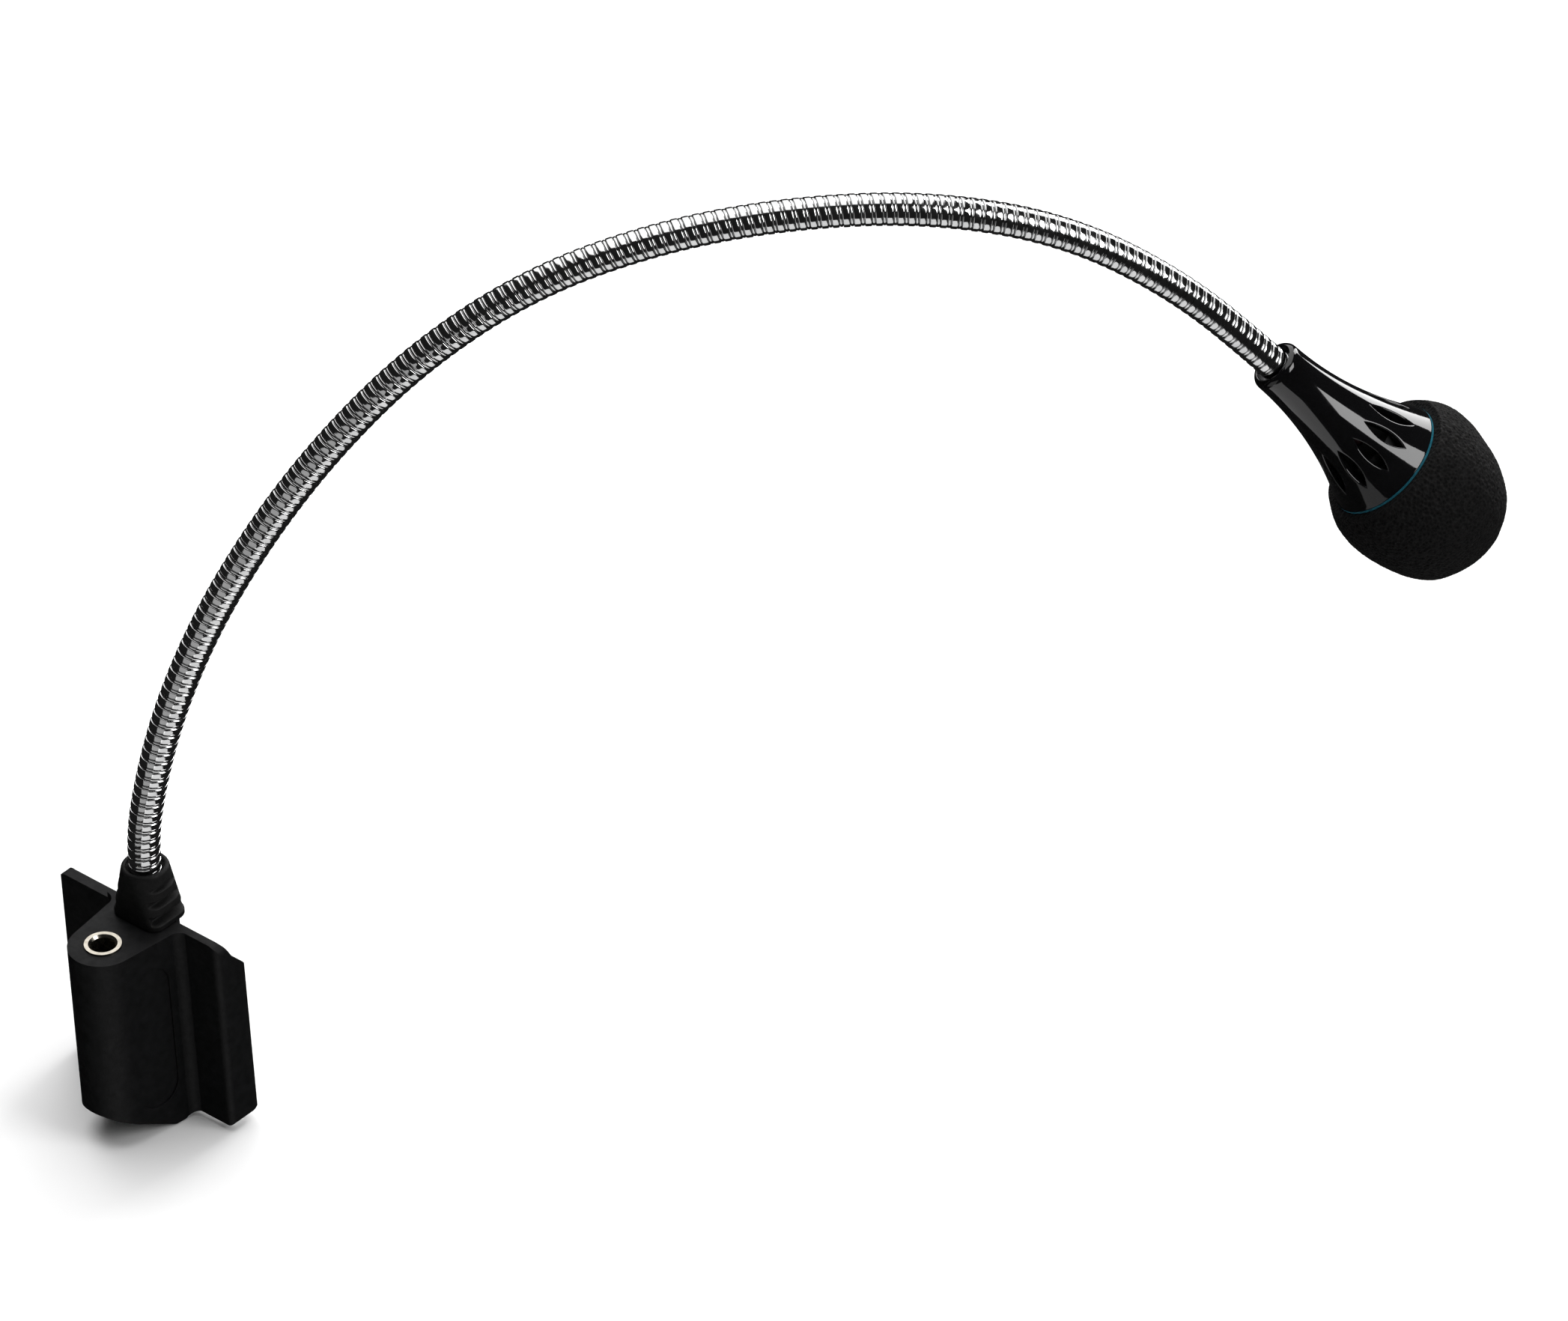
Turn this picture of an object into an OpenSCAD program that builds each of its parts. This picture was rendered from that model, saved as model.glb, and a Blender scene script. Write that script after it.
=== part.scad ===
// Gooseneck podium microphone that slides onto a mounting tongue.
// Frame: origin at the centre of the mounting seat, +Y out of the seat, +Z up the body.

/* [Bracket] */
// Width over the two side flanges
plate_w = 32.0; // [30:0.5:34]
// Sideways distance from the body's middle plane to the plate's
plate_x = -2.2; // [-2.6:0.1:0]
// How much lower the plate's left shoulder is than the top face
left_drop = 0.8; // [0:0.1:1.5]
// Thickness of the plate behind the body
plate_t = 1.8; // [1.5:0.1:2.4]
// Height from the lower edge to the top face
base_h = 32.4; // [31:0.2:36]
// Height of the seat below the neck boss
seat_h = 20.4; // [18:0.2:21]
// How far the flanges stand behind the seat
flange_d = 3.4; // [3.2:0.1:4.4]
// Thickness of the flanges
flange_t = 1.6; // [1.2:0.1:2]
// Inward width of each retaining lip
lip_w = 1.6; // [1:0.1:2]
// Thickness of each retaining lip
lip_t = 1.3; // [1:0.1:1.6]

/* [Body] */
// Radius of the rounded nose round the socket
nose_r = 5.2; // [4.7:0.1:5.5]
// Distance of the socket's axis in front of the seat
jack_y = 11.0; // [10.8:0.1:12]
// Outward slope of the side walls, in degrees
side_flare = 7; // [5:0.5:8]
// Radius of the hollow between a side wall and the plate
fillet_r = 2.0; // [1:0.1:2.2]
// Wall thickness of the body
wall = 1.5; // [1.3:0.1:1.5]
// Thickness of the top wall
top_t = 2.2; // [1.8:0.1:2.6]
// Rise of the underside towards the nose, in degrees
under_slope = 28.5; // [20:0.5:32]
// How far the body reaches below the plate
body_drop = 0.9; // [0.4:0.1:1.2]
// Thickness of the bottom cover
cover_t = 1.6; // [1.2:0.1:2]

/* [Socket] */
// Radius of the hole that takes a 3.5 mm plug
jack_r = 1.8; // [1.77:0.01:1.85]
// Outer radius of the metal bushing
bushing_r = 2.75; // [2.6:0.05:3]
// Length of the metal bushing
bushing_l = 6.6; // [5:0.1:8]
// Depth of the socket below the top face
jack_l = 15.2; // [14.8:0.1:16]

/* [Neck] */
// Distance of the neck's axis in front of the seat
neck_y = 1.3; // [1:0.1:1.6]
// Outer diameter of the flexible tube
neck_d = 4.8; // [4.6:0.1:5]
// Diameter of the microphone cable inside it
cable_d = 1.8; // [1.2:0.1:2]
// Distance between two joints of the neck
link_pitch = 19.6; // [19:0.1:22]
// Compass direction in which the neck leans, from +X towards +Y
neck_heading = 50; // [0:1:90]
// Height of the strain relief boot
boot_h = 8.8; // [8:0.1:10]

/* [Head] */
// Length of the flared head shell
shell_l = 24.6; // [24:0.2:30]
// Outer radius of the collar round the neck
collar_r = 3.95; // [3.8:0.05:4.2]
// Outer radius of the shell's rim
rim_r = 9.2; // [8.8:0.1:9.6]
// Wall thickness of the shell
shell_t = 1.2; // [1:0.1:1.4]
// Number of vents round the flare
vent_n = 12; // [6:1:12]
// Length of one vent
vent_l = 6.4; // [4:0.2:7]
// Width of one vent
vent_w = 1.7; // [1:0.1:2]
// Diameter of the foam windscreen
foam_d = 26; // [24:0.5:28]

/* [Hidden] */
$fn = 64;
// Bend of each piece of the neck at rest, from the boot to the head, in degrees
bends = [11.5, 9.5, 9, 7.5, 8.5, 12.5, 16, 12, 10, 14, 18, 12.5, 1.5];
last = len(bends) - 1;
z_low = -seat_h / 2;
z_top = z_low + base_h;
z_boss = seat_h / 2;
boot_top = z_top + boot_h;
neck_r = neck_d / 2;
cable_r = cable_d / 2;
fit = 0.05;
big = 60;

// Neck joint geometry
ball_r = neck_r - 0.1;
socket_r = neck_r + 0.15;
link_gap = 1.75;
bore_r = 1.35;
cable_gap = 1.25;

// Root of the neck inside the base
ferrule_r = 3.0;
ferrule_low = z_top - 7.8;
ferrule_top = z_top + 0.9;
chamber_low = z_top - 10.8;
boss_r = 4.2;
screw_r = 1.0;
screw_z = z_top - 4;

// Inside of the body
nose_in_r = nose_r - wall;
cavity_back = -neck_y - ferrule_r - 1.2;
slope_y = cavity_back + 0.1;

// Socket parts
jack_body_r = 3.3;
jack_bore_r = jack_r + 0.4;
body_low = z_top - jack_l - 1;
contact_t = 0.3;
board_t = 1.0;
board_y = -jack_y + jack_body_r + 0.6;

// Head parts along the head's own axis, which starts at the collar's mouth
flare_start = 1;
flare_angle = 2 * atan((rim_r - collar_r) / (shell_l - flare_start));
flare_r = (shell_l - flare_start) / sin(flare_angle);
ring_t = 0.35;
mouth_r = 2.95;
vent_at = 18.4;
foam_at = shell_l + 8.1;
basket_r = 6.4;
basket_top = shell_l + 12;
foam_pocket_r = basket_r + fit;
can_r = 4.85;
can_low = shell_l + 2;
can_l = 6.7;

// ---- Rules of the neck's shape ----

function digits(i) = str(floor(i / 10), i % 10);
function arc_len(i) = (i == 0 || i == last) ? link_pitch / 2 : link_pitch;
function arc_r(i) = arc_len(i) / (bends[i] * PI / 180);
// Lean from the vertical at the start of piece i
function lean(i) = i == 0 ? 0 : lean(i - 1) + bends[i - 1];
// Start of piece i as [distance out, height]
function start(i) = i == 0 ? [0, 0] : start(i - 1) + chord(i - 1);
function chord(i) = let (r = arc_r(i), x = r * (1 - cos(bends[i])), z = r * sin(bends[i]), a = lean(i))
    [x * cos(a) + z * sin(a), z * cos(a) - x * sin(a)];
// Angle that a length covers on piece i
function swept(i, length) = length / arc_r(i) * 180 / PI;

// Places children at the start of neck piece i, with +Z along the neck
module at_neck(i) {
    p = start(i);
    translate([0, -neck_y, boot_top]) rotate([0, 0, neck_heading])
        translate([p[0], 0, p[1]]) rotate([0, lean(i), 0]) children();
}

// Moves children along the curve of piece i by an angle
module along(i, angle) {
    r = arc_r(i);
    translate([r * (1 - cos(angle)), 0, r * sin(angle)]) rotate([0, angle, 0]) children();
}

// Sweeps a round section along piece i between two lengths
module bent_rod(i, radius, from, to) {
    r = arc_r(i);
    a = swept(i, from);
    along(i, a) translate([r, 0, 0]) rotate([90, 0, 180])
        rotate_extrude(angle = swept(i, to - from)) translate([r, 0]) circle(radius);
}

module at_head() {
    at_neck(last) along(last, bends[last]) children();
}

// ---- Base ----

// Half space under the sloped underside, lifted by some height
module under(lift) {
    translate([0, slope_y, z_low - body_drop + lift]) rotate([-under_slope, 0, 0])
        translate([-big / 2, -big / 2, -big]) cube([big, big, big]);
}

// Side view of the body: sloped towards the nose, and rising again to the plate
module body_side() {
    low = z_low - body_drop;
    nose = -jack_y - nose_r - 1;
    polygon([[nose, z_top], [nose, low + (slope_y - nose) * tan(under_slope)], [slope_y, low],
             [-plate_t - fillet_r, low], [-plate_t, z_low], [0, z_low], [0, z_top]]);
}

// Nose circle and flared sides, drawn back to a straight edge
module nose_outline(radius, back) {
    ty = -jack_y - radius * sin(side_flare);
    tx = radius * cos(side_flare);
    bx = tx + (back - ty) * tan(side_flare);
    translate([0, -jack_y]) circle(radius);
    polygon([[-tx, ty], [tx, ty], [bx, back], [-bx, back]]);
}

module body_outline() {
    ty = -jack_y - nose_r * sin(side_flare);
    y = -plate_t - fillet_r;
    x = nose_r * cos(side_flare) + (y - ty) * tan(side_flare);
    nose_outline(nose_r, -plate_t / 2);
    for (s = [-1, 1]) difference() {
        translate([s * (x + fillet_r / 2 - 0.4), y + fillet_r / 2 + 0.2])
            square([fillet_r + 0.8, fillet_r + 0.4], center = true);
        translate([s * (x + fillet_r), y + 0.1]) circle(fillet_r);
    }
}

// Front view of the bracket, with rounded corners
module bracket_front() {
    top_r = 1.8;
    low_r = 0.8;
    w = plate_w / 2;
    left_h = base_h - left_drop;
    step_x = -3.5 - plate_x;
    translate([-w, z_low + low_r]) square([w, left_h - low_r - top_r]);
    translate([-w + top_r, z_low + low_r]) square([w, left_h - low_r]);
    translate([step_x, z_low + low_r]) square([w - step_x, base_h - low_r - top_r]);
    translate([step_x, z_low + low_r]) square([w - step_x - top_r, base_h - low_r]);
    translate([-w + low_r, z_low]) square([plate_w - 2 * low_r, base_h / 2]);
    translate([-w + top_r, z_low + left_h - top_r]) circle(top_r);
    translate([w - top_r, z_top - top_r]) circle(top_r);
    for (s = [-1, 1]) translate([s * (w - low_r), z_low + low_r]) circle(low_r);
}

// Plan of the bracket, with rounded front corners
module bracket_plan() {
    r = 1.1;
    w = plate_w / 2;
    translate([-w, r - plate_t]) square([plate_w, flange_d + plate_t]);
    translate([r - w, -plate_t]) square([plate_w - 2 * r, 2 * r]);
    for (s = [-1, 1]) translate([s * (w - r), r - plate_t]) circle(r);
}

// Side view of the bracket, cut away behind the top of the plate
module bracket_side() {
    polygon([[-plate_t, z_low], [flange_d - 1, z_low], [flange_d, z_low + 1],
             [flange_d, z_top - 5.4], [flange_d - 0.3, z_top - 5], [1.3, z_top - 3.2],
             [0, z_top - 0.7], [-0.5, z_top], [-plate_t, z_top]]);
}

module bracket() {
    inner = plate_w / 2 - flange_t;
    mouth = inner - lip_w;
    difference() {
        intersection() {
            translate([0, flange_d + 1, 0]) rotate([90, 0, 0])
                linear_extrude(flange_d + plate_t + 1) bracket_front();
            translate([-plate_w / 2 - 1, 0, 0]) rotate([90, 0, 90])
                linear_extrude(plate_w + 2) bracket_side();
            translate([0, 0, z_low - 1]) linear_extrude(base_h + 2) bracket_plan();
        }
        translate([-inner, 0, z_low - 1]) cube([2 * inner, flange_d - lip_t, base_h + 2]);
        translate([-mouth, 0, z_low - 1]) cube([2 * mouth, flange_d + 1, base_h + 2]);
    }
}

// Shallow long oval in a side wall
module side_recess() {
    recess_r = 3.6;
    recess_l = 17.5;
    depth = 0.25;
    y = -7.9;
    x = nose_r * cos(side_flare) + (y + jack_y + nose_r * sin(side_flare)) * tan(side_flare);
    translate([x - depth, y, z_top - 16.3]) rotate([0, 90, -side_flare]) linear_extrude(3) union() {
        square([recess_l, 2 * recess_r], center = true);
        for (s = [-1, 1]) translate([s * recess_l / 2, 0]) circle(recess_r);
    }
}

module base_housing() {
    color("#161617") difference() {
        union() {
            intersection() {
                translate([0, 0, z_low - 2]) linear_extrude(base_h + 2) body_outline();
                translate([-big / 2, 0, 0]) rotate([90, 0, 90]) linear_extrude(big) body_side();
            }
            translate([plate_x, 0, 0]) bracket();
            translate([0, -neck_y, z_boss]) cylinder(r = boss_r, h = base_h - seat_h);
        }
        translate([0, 0, z_low - 2]) linear_extrude(base_h + 2 - top_t) nose_outline(nose_in_r, cavity_back);
        translate([0, -jack_y, z_top - 5]) cylinder(r = bushing_r + fit, h = 6);
        translate([0, -neck_y, ferrule_low]) cylinder(r = ferrule_r + fit, h = 10);
        translate([0, -neck_y, chamber_low]) cylinder(r = 1.6, h = 6);
        translate([-1.6, cavity_back - 1, chamber_low]) cube([3.2, -neck_y - cavity_back + 1, 2.6]);
        translate([0, 0, screw_z]) rotate([-90, 0, 0]) cylinder(r = screw_r + fit, h = 5);
        side_recess();
        mirror([1, 0, 0]) side_recess();
    }
}

module bottom_cover() {
    color("#1b1b1c") difference() {
        intersection() {
            translate([0, 0, z_low - 2])
                linear_extrude(base_h / 2) nose_outline(nose_in_r - fit, cavity_back - fit);
            under(cover_t);
        }
        under(0);
    }
}

module strain_relief_boot() {
    half_x = 4.6;
    half_y = 3.7;
    corner = 1.9;
    top_r = 3.55;
    groove_z = [1.1, 3.8, 6.2];
    groove_h = [1.3, 1.0, 0.6];
    color("#19191a") translate([0, -neck_y, z_top]) difference() {
        hull() {
            for (x = [-1, 1], y = [-1, 1])
                translate([x * (half_x - corner), y * (half_y - corner), 0])
                    cylinder(r = corner, h = 0.8, $fn = 24);
            translate([0, 0, boot_h - 0.8]) cylinder(r = top_r, h = 0.4, $fn = 32);
            translate([0, 0, boot_h - 0.4]) cylinder(r = top_r - 0.4, h = 0.4, $fn = 32);
        }
        translate([0, 0, -1]) cylinder(r = neck_r + fit, h = boot_h + 2);
        translate([0, 0, -1]) cylinder(r = ferrule_r + fit, h = 2);
        translate([0, 0, boot_h - 0.6]) cylinder(r = neck_r + 0.45, h = 1);
        for (i = [0:2], s = [-1, 1])
            translate([s * 5.35 - 2, -half_y + 0.5, groove_z[i]]) cube([4, 2 * half_y, groove_h[i]]);
    }
}

module jack_bushing() {
    chamfer = 0.35;
    color("#c9c4b8") translate([0, -jack_y, z_top]) difference() {
        translate([0, 0, 0.25 - bushing_l]) cylinder(r = bushing_r, h = bushing_l);
        translate([0, 0, -bushing_l]) cylinder(r = jack_r, h = bushing_l + 1);
        translate([0, 0, 0.25 - chamfer])
            cylinder(r1 = jack_r, r2 = jack_r + chamfer + 0.05, h = chamfer + 0.05);
    }
}

// A flat spring contact in a slot of the socket body, ending in a solder tail
module contact(turn, high) {
    color("#b8a35a") translate([0, -jack_y, 0]) rotate([0, 0, turn])
        translate([-0.6, jack_bore_r + 0.1, body_low - 1.5]) cube([1.2, contact_t, high - body_low + 1.5]);
}

module contact_slot(turn, high) {
    translate([0, -jack_y, 0]) rotate([0, 0, turn])
        translate([-0.7, 0, body_low - 1]) cube([1.4, jack_bore_r + 0.2 + contact_t, high - body_low + 1.1]);
}

module jack_body() {
    color("#202022") difference() {
        translate([0, -jack_y, body_low]) cylinder(r = jack_body_r, h = z_top - top_t - body_low);
        translate([0, -jack_y, body_low + 1]) cylinder(r = jack_bore_r, h = 30);
        translate([0, -jack_y, z_top + 0.2 - bushing_l]) cylinder(r = bushing_r + 0.02, h = 10);
        contact_slot(90, z_top - 11);
        contact_slot(-90, z_top - 8);
    }
}

module jack_tip_contact() {
    contact(90, z_top - 11);
}

module jack_ring_contact() {
    contact(-90, z_top - 8);
}

module jack_board() {
    color("#1f5b3a") difference() {
        translate([-3.2, board_y, z_top - 20]) cube([6.4, board_t, 15]);
        for (x = [-1.1, 0, 1.1]) translate([x, board_y - 1, chamber_low + 1])
            rotate([-90, 0, 0]) cylinder(r = 0.32, h = 3);
    }
}

module lead_wires() {
    color("#8f2a22") for (x = [-1.1, 0, 1.1]) translate([x, board_y, chamber_low + 1])
        rotate([-90, 0, 0]) cylinder(r = 0.3, h = -neck_y - board_y);
}

module root_ferrule() {
    color("#a8a9ab") translate([0, -neck_y, ferrule_low]) difference() {
        cylinder(r = ferrule_r, h = ferrule_top - ferrule_low);
        translate([0, 0, 1]) cylinder(r = neck_r + 0.02, h = 20);
        translate([0, 0, -1]) cylinder(r = bore_r, h = 4);
    }
}

module root_grub_screw() {
    color("#3b3c3f") translate([0, ferrule_r - neck_y + 0.03, screw_z]) rotate([-90, 0, 0]) difference() {
        cylinder(r = screw_r, h = 1.1);
        translate([0, 0, 0.5]) cylinder(r = 0.5, h = 1, $fn = 6);
    }
}

// ---- Neck ----

// One stiff length of the flexible tube: a ball at its start and a hollow seat at its far end
module neck_link(i) {
    to = i == last ? arc_len(i) + 4 : arc_len(i) - link_gap;
    color("#c6c8cb") at_neck(i) {
        difference() {
            union() {
                bent_rod(i, neck_r, 0, to);
                if (i > 0) sphere(ball_r);
            }
            bent_rod(i, bore_r, i == 0 ? -1 : -3, arc_len(i) + 5);
            if (i < last) along(i, bends[i]) sphere(socket_r);
        }
        if (i == 0) neck_root();
    }
}

// The straight start of the tube, held in the base
module neck_root() {
    low = ferrule_low + 1 - boot_top;
    translate([0, 0, low]) difference() {
        cylinder(r = neck_r, h = -low);
        translate([0, 0, -1]) cylinder(r = bore_r, h = 2 - low);
    }
}

// The length of microphone cable that lies in one neck piece
module cable_core(i) {
    from = i == 0 ? 0 : cable_gap;
    to = i == last ? arc_len(i) + 5 : arc_len(i) - ball_r - 0.1;
    color("#2b2b2d") at_neck(i) {
        bent_rod(i, cable_r, from, to);
        if (i == 0) translate([0, 0, chamber_low + 1.4 - boot_top])
            cylinder(r = cable_r, h = boot_top - chamber_low - 1.4);
    }
}

// ---- Head ----

// Area under the flared outline, moved inwards by an amount
module flare_profile(inset, from, to) {
    difference() {
        translate([0, from]) square([rim_r + 1, to - from]);
        translate([collar_r + flare_r, flare_start]) circle(flare_r + inset, $fn = 200);
    }
}

module vent() {
    half = vent_l / 2;
    // Two equal circles whose overlap is the pointed outline
    big_r = (half * half + vent_w * vent_w / 4) / vent_w;
    slope = asin((vent_at - flare_start) / flare_r);
    x = collar_r + flare_r * (1 - cos(slope));
    translate([x, 0, vent_at]) rotate([0, slope - 90, 0]) rotate([0, 0, 90])
        translate([0, 0, -2]) linear_extrude(4) intersection() {
            translate([big_r - vent_w / 2, 0]) circle(big_r);
            translate([vent_w / 2 - big_r, 0]) circle(big_r);
        }
}

module head_shell() {
    lip = 1.1;
    color("#0e0e10") at_head() difference() {
        rotate_extrude() union() {
            flare_profile(0, lip, shell_l);
            difference() {
                translate([0, 0.2]) square([collar_r, lip]);
                translate([collar_r - lip, 0]) square([lip + 1, lip]);
            }
            translate([collar_r - lip, lip]) circle(lip);
        }
        rotate_extrude() flare_profile(shell_t, 11, shell_l + 1);
        translate([0, 0, -1]) cylinder(r = mouth_r, h = 13);
        for (k = [0:vent_n - 1]) rotate([0, 0, (k + 0.5) * 360 / vent_n]) vent();
    }
}

module head_ferrule() {
    color("#a8a9ab") at_head() difference() {
        translate([0, 0, 1.5]) cylinder(r = mouth_r - 0.02, h = 7.5);
        translate([0, 0, 1]) cylinder(r = neck_r + 0.06, h = 3.2);
        translate([0, 0, 1]) cylinder(r = bore_r, h = 12);
    }
}

module rim_ring() {
    color("#1f6f86") at_head() translate([0, 0, shell_l]) difference() {
        cylinder(r = rim_r, h = ring_t);
        translate([0, 0, -1]) cylinder(r = rim_r - 1.1, h = 3);
    }
}

// Slotted cage that carries the capsule and the foam
module capsule_basket() {
    foot = shell_l - 5;
    color("#232325") at_head() difference() {
        union() {
            translate([0, 0, foot]) cylinder(r = basket_r - 0.6, h = 2);
            translate([0, 0, foot + 2]) cylinder(r = basket_r, h = basket_top - foot - 2);
        }
        translate([0, 0, foot + 4]) cylinder(r = basket_r - 0.9, h = 30);
        translate([0, 0, foot - 1]) cylinder(r = 1.2, h = 8);
        for (k = [0:5]) rotate([0, 0, k * 60])
            translate([2, -1.2, shell_l + 3]) cube([6, 2.4, 7]);
    }
}

module capsule_sleeve() {
    color("#3a3a3c") at_head() difference() {
        translate([0, 0, can_low - 3]) cylinder(r = basket_r - 0.92, h = 9);
        translate([0, 0, can_low - 2]) cylinder(r = can_r + 0.01, h = 20);
        translate([0, 0, can_low - 8]) cylinder(r = 1.2, h = 8);
    }
}

module capsule_can() {
    color("#b9bbbe") at_head() difference() {
        translate([0, 0, can_low]) cylinder(r = can_r, h = can_l);
        translate([0, 0, can_low - 1]) cylinder(r = can_r - 0.4, h = can_l + 0.6);
        for (k = [0:5]) rotate([0, 0, k * 60]) translate([2.2, 0, can_low]) cylinder(r = 0.4, h = can_l + 1);
        translate([0, 0, can_low]) cylinder(r = 0.5, h = can_l + 1);
    }
}

module capsule_board() {
    color("#1f5b3a") at_head() translate([0, 0, can_low]) cylinder(r = can_r - 0.42, h = 0.8);
}

module capsule_felt() {
    color("#101010") at_head() translate([0, 0, can_low + can_l]) cylinder(r = can_r - 0.1, h = 0.6);
}

module head_leads() {
    color("#8f2a22") at_head() for (x = [-0.5, 0.5])
        translate([x, 0, 5.2]) cylinder(r = 0.3, h = can_low - 5.2);
}

module foam_windscreen() {
    skirt = 0.5;
    color("#0b0b0b") at_head() difference() {
        translate([0, 0, foam_at]) rotate_extrude() difference() {
            circle(foam_d / 2, $fn = 128);
            translate([-foam_d, -foam_d]) square([foam_d, 2 * foam_d]);
            translate([0, -foam_d]) square([foam_d, foam_d + shell_l + ring_t - foam_at]);
        }
        translate([0, 0, shell_l - 5]) cylinder(r = foam_pocket_r, h = 5 + basket_top - shell_l + 0.4);
        translate([0, 0, shell_l - 1]) cylinder(r = basket_r + skirt, h = 2);
    }
}

base_housing();
bottom_cover();
jack_bushing();
jack_body();
jack_tip_contact();
jack_ring_contact();
jack_board();
lead_wires();
strain_relief_boot();
root_ferrule();
root_grub_screw();
for (i = [0:last]) neck_link(i);
for (i = [0:last]) cable_core(i);
head_ferrule();
head_shell();
rim_ring();
capsule_basket();
capsule_sleeve();
capsule_can();
capsule_board();
capsule_felt();
head_leads();
foam_windscreen();
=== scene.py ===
import math
import random
from bisect import bisect_right

import bmesh
import bpy
from mathutils import Matrix, Vector, noise


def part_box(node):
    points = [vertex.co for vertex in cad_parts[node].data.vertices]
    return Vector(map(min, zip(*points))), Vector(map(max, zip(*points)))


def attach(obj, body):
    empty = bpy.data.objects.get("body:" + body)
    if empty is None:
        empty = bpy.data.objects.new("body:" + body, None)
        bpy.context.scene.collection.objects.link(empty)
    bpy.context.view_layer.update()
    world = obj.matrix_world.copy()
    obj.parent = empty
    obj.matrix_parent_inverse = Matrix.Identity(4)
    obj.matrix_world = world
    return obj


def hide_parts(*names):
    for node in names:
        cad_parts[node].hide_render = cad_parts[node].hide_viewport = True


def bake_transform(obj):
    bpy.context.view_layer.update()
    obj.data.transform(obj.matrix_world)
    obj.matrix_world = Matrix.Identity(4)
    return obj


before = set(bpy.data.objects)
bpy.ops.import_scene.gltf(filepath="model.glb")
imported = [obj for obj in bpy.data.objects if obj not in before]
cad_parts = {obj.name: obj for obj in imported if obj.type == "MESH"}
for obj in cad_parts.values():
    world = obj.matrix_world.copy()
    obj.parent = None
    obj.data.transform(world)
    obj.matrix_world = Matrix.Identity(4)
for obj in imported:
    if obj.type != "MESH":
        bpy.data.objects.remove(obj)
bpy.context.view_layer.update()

MM = 0.001
UP = Vector((0, 0, 1))

# ---- The neck's rule, as in part.scad (degrees and millimetres) ----

BENDS = [11.5, 9.5, 9, 7.5, 8.5, 12.5, 16, 12, 10, 14, 18, 12.5, 1.5]
LINK_PITCH = 19.6
HEADING = 50
NECK_R = 2.4
LAST = len(BENDS) - 1

base_low, base_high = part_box("base_housing")
boot_low, boot_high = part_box("strain_relief_boot")
bushing_low, bushing_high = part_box("jack_bushing")
Z_TOP = base_high.z / MM
BOOT_TOP = boot_high.z / MM
NECK_Y = (boot_low.y + boot_high.y) / 2 / MM
JACK_Y = (bushing_low.y + bushing_high.y) / 2 / MM

LEAN_AXIS = Vector((math.cos(math.radians(HEADING)), math.sin(math.radians(HEADING)), 0))


def along(lean):
    """Direction in which the neck runs where it leans by an angle."""
    return LEAN_AXIS * math.sin(lean) + UP * math.cos(lean)


def across(lean):
    """Direction square to the neck, in its own plane, on the side it leans to."""
    return LEAN_AXIS * math.cos(lean) - UP * math.sin(lean)


def on_arc(row, length):
    """Point and lean at a length along one link."""
    _, point, lean, bend, full = row
    if bend == 0:
        return point + along(lean) * length, lean
    radius = full / bend
    angle = length / radius
    aside = radius * (1 - math.cos(angle))
    ahead = radius * math.sin(angle)
    return point + across(lean) * aside + along(lean) * ahead, lean + angle


def neck_rows():
    """One row a link and one for the head: arc length and point at its start, lean, bend, length."""
    rows = []
    point, lean, travelled = Vector((0, NECK_Y, BOOT_TOP)), 0.0, 0.0
    for i, bend in enumerate(BENDS):
        length = LINK_PITCH / 2 if i in (0, LAST) else LINK_PITCH
        rows.append((travelled, point, lean, math.radians(bend), length))
        point, lean = on_arc(rows[-1], length)
        travelled += length
    rows.append((travelled, point, lean, 0.0, 1.0))
    return rows


ROWS = neck_rows()
STARTS = [row[0] for row in ROWS]


def neck_point(s):
    """Point and lean at an arc length; straight on before the boot's top and past the collar."""
    if s < 0:
        return ROWS[0][1] + UP * s, 0.0
    row = ROWS[bisect_right(STARTS, s) - 1]
    return on_arc(row, s - row[0])


HEAD_POINT, HEAD_LEAN = neck_point(STARTS[-1])
HEAD_Z = along(HEAD_LEAN)
HEAD_X = across(HEAD_LEAN)
HEAD_Y = HEAD_Z.cross(HEAD_X)


def head_place(x, y, w):
    """A point given in the head's own frame, in mm, as metres in the model's frame."""
    return (HEAD_POINT + HEAD_X * x + HEAD_Y * y + HEAD_Z * w) * MM


# ---- Materials ----

# Range of a noise texture that a colour or roughness is spread over
NOISE_LOW = 0.3
NOISE_HIGH = 0.7
# Size of the patches of roughness against those of colour
WEAR_SIZE = 0.6


def new_material(name):
    mat = bpy.data.materials.new(name)
    mat.use_nodes = True
    nodes = mat.node_tree.nodes
    shader = nodes["Principled BSDF"]
    return mat, nodes, mat.node_tree.links, shader


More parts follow.
